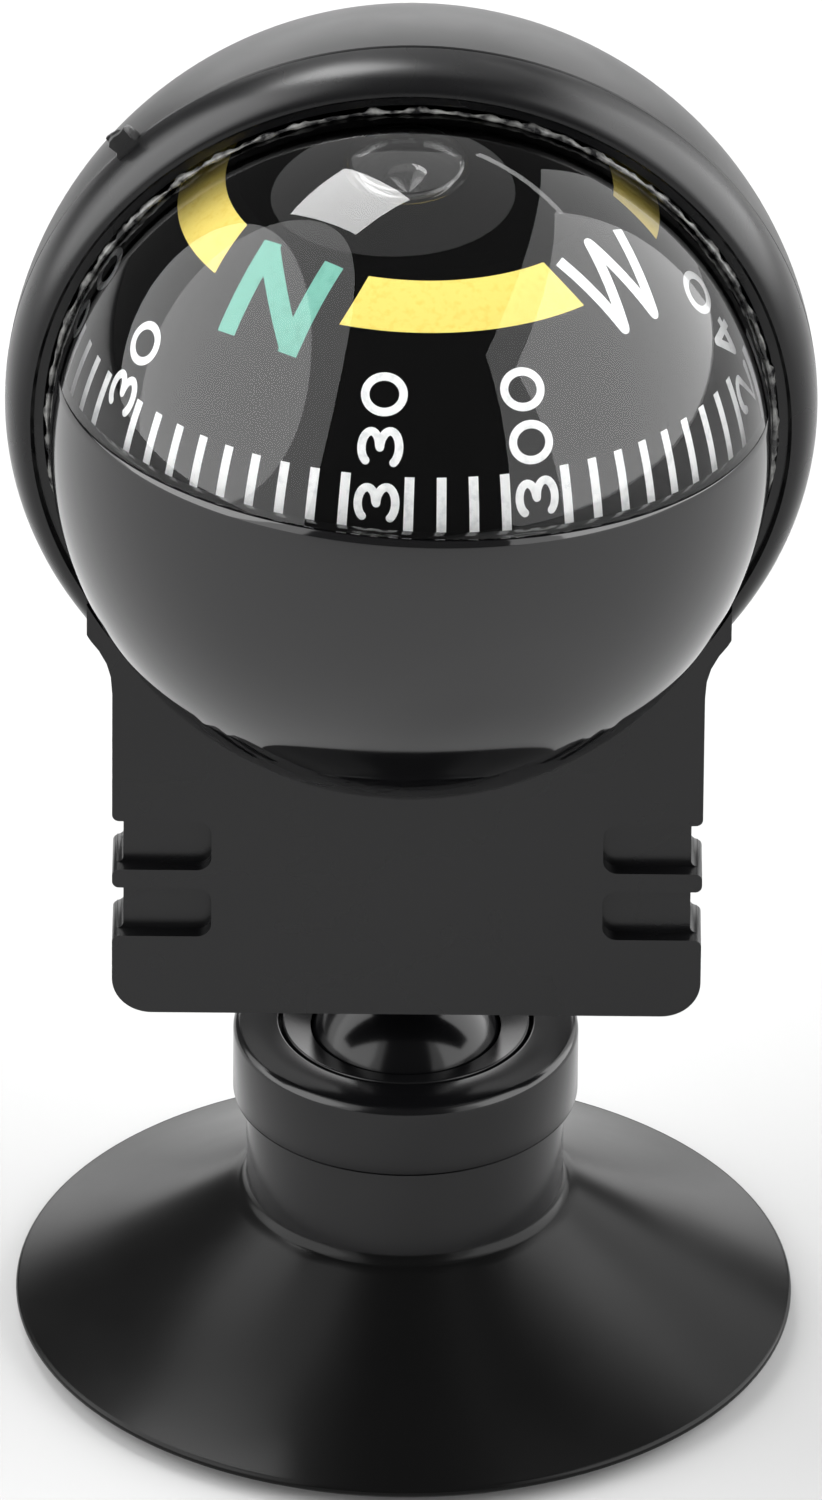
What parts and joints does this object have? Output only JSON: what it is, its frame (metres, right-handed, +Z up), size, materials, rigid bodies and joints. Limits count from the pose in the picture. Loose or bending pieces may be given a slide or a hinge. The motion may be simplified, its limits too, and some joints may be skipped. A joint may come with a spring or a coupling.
{
  "type": "dashboard compass",
  "caption": "Liquid-filled ball compass in a hooded head with a grip plate, on a ball joint and a suction cup.",
  "frame": {"origin": "centre of the bounding box at the level the cup's lip stands on", "axes": "+Z up, -Y the way the dial faces the driver, +X to the driver's right"},
  "size_m": [0.0338, 0.0344, 0.0611],
  "materials": {
    "cup": "glossy soft PVC",
    "neck": "glossy moulded",
    "collar": "glossy moulded",
    "pad": "matt",
    "liner": "satin",
    "stud": "glossy moulded",
    "frame": "satin moulded",
    "hood": "glossy moulded",
    "clear": "polished clear acrylic",
    "lower": "polished",
    "plug": "matt",
    "post": "satin",
    "pin": "ground",
    "jewel": "turned",
    "dial": "satin with printed scale",
    "dial_floor": "satin",
    "magnet": "pressed ferrite"
  },
  "bodies": {
    "base": {"suction_cup": "cup", "socket_body": "neck", "collar_ring": "collar", "friction_pad": "pad"},
    "seat": {"socket_liner": "liner"},
    "stud": {"ball_stud": "stud"},
    "head": {"front_frame": "frame", "hood_shell": "hood", "ball_upper_shell": "clear", "ball_lower_shell": "lower", "fill_plug": "plug", "pivot_post": "post", "pivot_pin": "pin"},
    "gimbal": {"jewel_cup": "jewel"},
    "dial": {"dial_dome": "dial", "dial_floor": "dial_floor", "magnet_left": "magnet", "magnet_right": "magnet"}
  },
  "joints": [
    {"name": "seat_turn", "type": "hinge", "parent": "base", "child": "seat", "pos_m": [0, 0.00078, 0.01217], "axis": [0, 0, 1], "continuous": true},
    {"name": "head_tilt", "type": "hinge", "parent": "seat", "child": "stud", "pos_m": [0, 0.00078, 0.01217], "axis": [1, 0, 0], "range_deg": [-25, 25]},
    {"name": "head_spin", "type": "hinge", "parent": "stud", "child": "head", "pos_m": [0, 0.00078, 0.01217], "axis": [0, 0, 1], "continuous": true},
    {"name": "dial_rock", "type": "hinge", "parent": "head", "child": "gimbal", "pos_m": [0, -0.00228, 0.04426], "axis": [1, 0, 0], "range_deg": [-15, 15]},
    {"name": "dial_spin", "type": "hinge", "parent": "gimbal", "child": "dial", "pos_m": [0, -0.00228, 0.04426], "axis": [0.0227, 0.075, 0.9969], "continuous": true}
  ]
}
